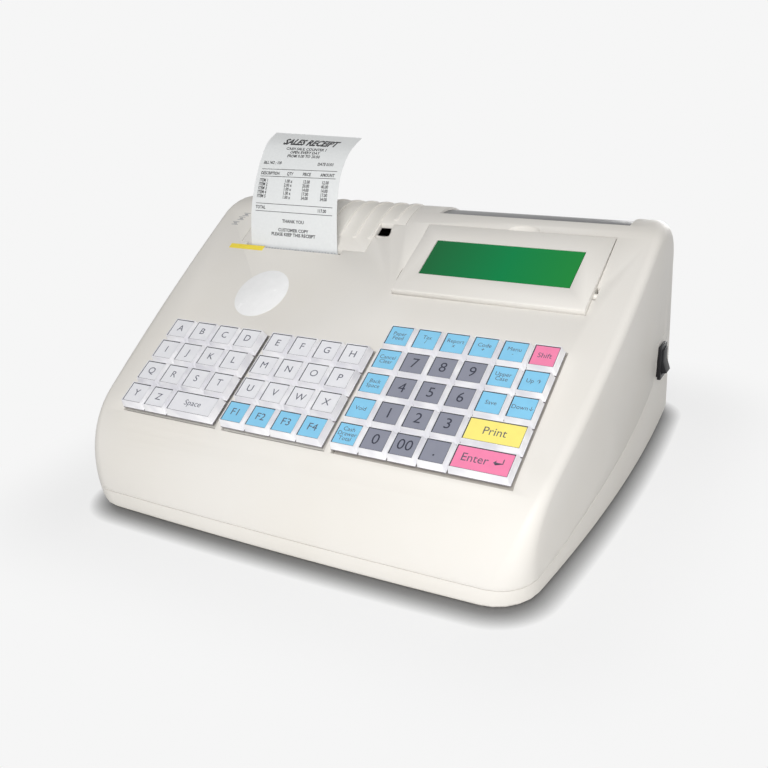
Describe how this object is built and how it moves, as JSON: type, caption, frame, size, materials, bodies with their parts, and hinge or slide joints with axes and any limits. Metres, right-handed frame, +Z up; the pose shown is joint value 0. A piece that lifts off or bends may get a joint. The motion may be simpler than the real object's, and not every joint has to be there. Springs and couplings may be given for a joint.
{
  "type": "billing printer",
  "caption": "Desktop billing printer: sloped wedge case with sprung number keys, letter keypad, tilting display, geared platen under a hinged paper lid and a paper roll.",
  "frame": {"origin": "middle of the overall width and depth at the underside of the feet", "axes": "+X to the user's right, +Y from the front edge to the rear wall, +Z up; the key deck rises towards +Y"},
  "size_m": [0.2617, 0.233, 0.1664],
  "materials": {
    "ivory_shell": "satin",
    "ivory_base": "satin",
    "clear_cap": "glossy clear cap",
    "blue_cap": "glossy",
    "grey_cap": "glossy",
    "pink_cap": "glossy",
    "yellow_cap": "glossy",
    "paper": "matt paper",
    "rubber": "matt",
    "steel": "brushed",
    "black_plastic": "matt",
    "nylon": "matt",
    "circuit_board": "solder mask",
    "smoked_window": "glossy",
    "green_window": "glossy"
  },
  "bodies": {
    "case": {"base_tray": "ivory_base", "top_cover": "ivory_shell", "letter_keypad": "clear_cap", "number_key_guide": "black_plastic", "key_board": "circuit_board", "stepper_motor": "steel", "print_head": "black_plastic", "printer_frame": "steel", "tear_bar": "steel", "paper_bucket": "black_plastic", "customer_window": "smoked_window", "customer_display": "circuit_board", "switch_body": "black_plastic", "main_board": "circuit_board", "dc_jack": "black_plastic", "drawer_socket": "black_plastic", "foot_front_left": "rubber", "foot_front_right": "rubber", "foot_rear_left": "rubber", "foot_rear_right": "rubber"},
    "lid": {"paper_lid": "ivory_shell", "receipt_paper": "paper"},
    "platen": {"platen_roller": "rubber", "platen_shaft": "steel", "platen_gear": "nylon"},
    "roll": {"paper_roll": "paper"},
    "idler": {"idler_gear": "nylon"},
    "pinion": {"motor_pinion": "nylon"},
    "panel": {"display_bezel": "ivory_shell", "display_lens": "green_window", "display_module": "circuit_board"},
    "rocker": {"power_rocker": "black_plastic"},
    "number_key_1_1": {"number_key_1_1": "blue_cap"},
    "number_key_1_2": {"number_key_1_2": "blue_cap"},
    "number_key_1_3": {"number_key_1_3": "blue_cap"},
    "number_key_1_4": {"number_key_1_4": "blue_cap"},
    "number_key_1_5": {"number_key_1_5": "blue_cap"},
    "number_key_1_6": {"number_key_1_6": "pink_cap"},
    "number_key_2_1": {"number_key_2_1": "blue_cap"},
    "number_key_2_2": {"number_key_2_2": "grey_cap"},
    "number_key_2_3": {"number_key_2_3": "grey_cap"},
    "number_key_2_4": {"number_key_2_4": "grey_cap"},
    "number_key_2_5": {"number_key_2_5": "blue_cap"},
    "number_key_2_6": {"number_key_2_6": "blue_cap"},
    "number_key_3_1": {"number_key_3_1": "blue_cap"},
    "number_key_3_2": {"number_key_3_2": "grey_cap"},
    "number_key_3_3": {"number_key_3_3": "grey_cap"},
    "number_key_3_4": {"number_key_3_4": "grey_cap"},
    "number_key_3_5": {"number_key_3_5": "blue_cap"},
    "number_key_3_6": {"number_key_3_6": "blue_cap"},
    "number_key_4_1": {"number_key_4_1": "blue_cap"},
    "number_key_4_2": {"number_key_4_2": "grey_cap"},
    "number_key_4_3": {"number_key_4_3": "grey_cap"},
    "number_key_4_4": {"number_key_4_4": "grey_cap"},
    "number_key_4_5": {"number_key_4_5": "yellow_cap"},
    "number_key_5_1": {"number_key_5_1": "blue_cap"},
    "number_key_5_2": {"number_key_5_2": "grey_cap"},
    "number_key_5_3": {"number_key_5_3": "grey_cap"},
    "number_key_5_4": {"number_key_5_4": "grey_cap"},
    "number_key_5_5": {"number_key_5_5": "pink_cap"}
  },
  "joints": [
    {"name": "paper_lid_hinge", "type": "hinge", "parent": "case", "child": "lid", "pos_m": [-0.054, 0.08124, 0.10084], "axis": [-1, 0, 0], "range_deg": [0, 85]},
    {"name": "display_tilt", "type": "hinge", "parent": "case", "child": "panel", "pos_m": [0.05875, 0.00376, 0.10217], "axis": [1, 0, 0], "range_deg": [0, 40]},
    {"name": "power_rocker_tilt", "type": "hinge", "parent": "case", "child": "rocker", "pos_m": [0.1245, 0.06181, 0.051], "axis": [0, 1, 0], "range_deg": [0, 16]},
    {"name": "platen_spin", "type": "hinge", "parent": "lid", "child": "platen", "pos_m": [-0.0663, 0.02021, 0.10329], "axis": [1, 0, 0], "continuous": true},
    {"name": "idler_spin", "type": "hinge", "parent": "case", "child": "idler", "pos_m": [-0.0306, 0.01863, 0.09127], "axis": [1, 0, 0], "continuous": true},
    {"name": "motor_spin", "type": "hinge", "parent": "case", "child": "pinion", "pos_m": [-0.0306, 0.01224, 0.08279], "axis": [1, 0, 0], "continuous": true},
    {"name": "paper_roll_spin", "type": "hinge", "parent": "case", "child": "roll", "pos_m": [-0.0663, 0.05381, 0.083], "axis": [1, 0, 0], "continuous": true},
    {"name": "number_key_1_1_press", "type": "slide", "parent": "case", "child": "number_key_1_1", "axis": [0, 0.4831, -0.8755], "range_m": [0, 0.003], "stiffness_N_per_m": 180, "springref_m": -0.001},
    {"name": "number_key_1_2_press", "type": "slide", "parent": "case", "child": "number_key_1_2", "axis": [0, 0.4831, -0.8755], "range_m": [0, 0.003], "stiffness_N_per_m": 180, "springref_m": -0.001},
    {"name": "number_key_1_3_press", "type": "slide", "parent": "case", "child": "number_key_1_3", "axis": [0, 0.4831, -0.8755], "range_m": [0, 0.003], "stiffness_N_per_m": 180, "springref_m": -0.001},
    {"name": "number_key_1_4_press", "type": "slide", "parent": "case", "child": "number_key_1_4", "axis": [0, 0.4831, -0.8755], "range_m": [0, 0.003], "stiffness_N_per_m": 180, "springref_m": -0.001},
    {"name": "number_key_1_5_press", "type": "slide", "parent": "case", "child": "number_key_1_5", "axis": [0, 0.4831, -0.8755], "range_m": [0, 0.003], "stiffness_N_per_m": 180, "springref_m": -0.001},
    {"name": "number_key_1_6_press", "type": "slide", "parent": "case", "child": "number_key_1_6", "axis": [0, 0.4831, -0.8755], "range_m": [0, 0.003], "stiffness_N_per_m": 180, "springref_m": -0.001},
    {"name": "number_key_2_1_press", "type": "slide", "parent": "case", "child": "number_key_2_1", "axis": [0, 0.4831, -0.8755], "range_m": [0, 0.003], "stiffness_N_per_m": 180, "springref_m": -0.001},
    {"name": "number_key_2_2_press", "type": "slide", "parent": "case", "child": "number_key_2_2", "axis": [0, 0.4831, -0.8755], "range_m": [0, 0.003], "stiffness_N_per_m": 180, "springref_m": -0.001},
    {"name": "number_key_2_3_press", "type": "slide", "parent": "case", "child": "number_key_2_3", "axis": [0, 0.4831, -0.8755], "range_m": [0, 0.003], "stiffness_N_per_m": 180, "springref_m": -0.001},
    {"name": "number_key_2_4_press", "type": "slide", "parent": "case", "child": "number_key_2_4", "axis": [0, 0.4831, -0.8755], "range_m": [0, 0.003], "stiffness_N_per_m": 180, "springref_m": -0.001},
    {"name": "number_key_2_5_press", "type": "slide", "parent": "case", "child": "number_key_2_5", "axis": [0, 0.4831, -0.8755], "range_m": [0, 0.003], "stiffness_N_per_m": 180, "springref_m": -0.001},
    {"name": "number_key_2_6_press", "type": "slide", "parent": "case", "child": "number_key_2_6", "axis": [0, 0.4831, -0.8755], "range_m": [0, 0.003], "stiffness_N_per_m": 180, "springref_m": -0.001},
    {"name": "number_key_3_1_press", "type": "slide", "parent": "case", "child": "number_key_3_1", "axis": [0, 0.4831, -0.8755], "range_m": [0, 0.003], "stiffness_N_per_m": 180, "springref_m": -0.001},
    {"name": "number_key_3_2_press", "type": "slide", "parent": "case", "child": "number_key_3_2", "axis": [0, 0.4831, -0.8755], "range_m": [0, 0.003], "stiffness_N_per_m": 180, "springref_m": -0.001},
    {"name": "number_key_3_3_press", "type": "slide", "parent": "case", "child": "number_key_3_3", "axis": [0, 0.4831, -0.8755], "range_m": [0, 0.003], "stiffness_N_per_m": 180, "springref_m": -0.001},
    {"name": "number_key_3_4_press", "type": "slide", "parent": "case", "child": "number_key_3_4", "axis": [0, 0.4831, -0.8755], "range_m": [0, 0.003], "stiffness_N_per_m": 180, "springref_m": -0.001},
    {"name": "number_key_3_5_press", "type": "slide", "parent": "case", "child": "number_key_3_5", "axis": [0, 0.4831, -0.8755], "range_m": [0, 0.003], "stiffness_N_per_m": 180, "springref_m": -0.001},
    {"name": "number_key_3_6_press", "type": "slide", "parent": "case", "child": "number_key_3_6", "axis": [0, 0.4831, -0.8755], "range_m": [0, 0.003], "stiffness_N_per_m": 180, "springref_m": -0.001},
    {"name": "number_key_4_1_press", "type": "slide", "parent": "case", "child": "number_key_4_1", "axis": [0, 0.4831, -0.8755], "range_m": [0, 0.003], "stiffness_N_per_m": 180, "springref_m": -0.001},
    {"name": "number_key_4_2_press", "type": "slide", "parent": "case", "child": "number_key_4_2", "axis": [0, 0.4831, -0.8755], "range_m": [0, 0.003], "stiffness_N_per_m": 180, "springref_m": -0.001},
    {"name": "number_key_4_3_press", "type": "slide", "parent": "case", "child": "number_key_4_3", "axis": [0, 0.4831, -0.8755], "range_m": [0, 0.003], "stiffness_N_per_m": 180, "springref_m": -0.001},
    {"name": "number_key_4_4_press", "type": "slide", "parent": "case", "child": "number_key_4_4", "axis": [0, 0.4831, -0.8755], "range_m": [0, 0.003], "stiffness_N_per_m": 180, "springref_m": -0.001},
    {"name": "number_key_4_5_press", "type": "slide", "parent": "case", "child": "number_key_4_5", "axis": [0, 0.4831, -0.8755], "range_m": [0, 0.003], "stiffness_N_per_m": 180, "springref_m": -0.001},
    {"name": "number_key_5_1_press", "type": "slide", "parent": "case", "child": "number_key_5_1", "axis": [0, 0.4831, -0.8755], "range_m": [0, 0.003], "stiffness_N_per_m": 180, "springref_m": -0.001},
    {"name": "number_key_5_2_press", "type": "slide", "parent": "case", "child": "number_key_5_2", "axis": [0, 0.4831, -0.8755], "range_m": [0, 0.003], "stiffness_N_per_m": 180, "springref_m": -0.001},
    {"name": "number_key_5_3_press", "type": "slide", "parent": "case", "child": "number_key_5_3", "axis": [0, 0.4831, -0.8755], "range_m": [0, 0.003], "stiffness_N_per_m": 180, "springref_m": -0.001},
    {"name": "number_key_5_4_press", "type": "slide", "parent": "case", "child": "number_key_5_4", "axis": [0, 0.4831, -0.8755], "range_m": [0, 0.003], "stiffness_N_per_m": 180, "springref_m": -0.001},
    {"name": "number_key_5_5_press", "type": "slide", "parent": "case", "child": "number_key_5_5", "axis": [0, 0.4831, -0.8755], "range_m": [0, 0.003], "stiffness_N_per_m": 180, "springref_m": -0.001}
  ],
  "couplings": [
    {"joint": "idler_spin", "follows": "platen_spin", "ratio": -0.71429},
    {"joint": "motor_spin", "follows": "platen_spin", "ratio": 1.4286},
    {"joint": "paper_roll_spin", "follows": "platen_spin", "ratio": 0.24}
  ]
}
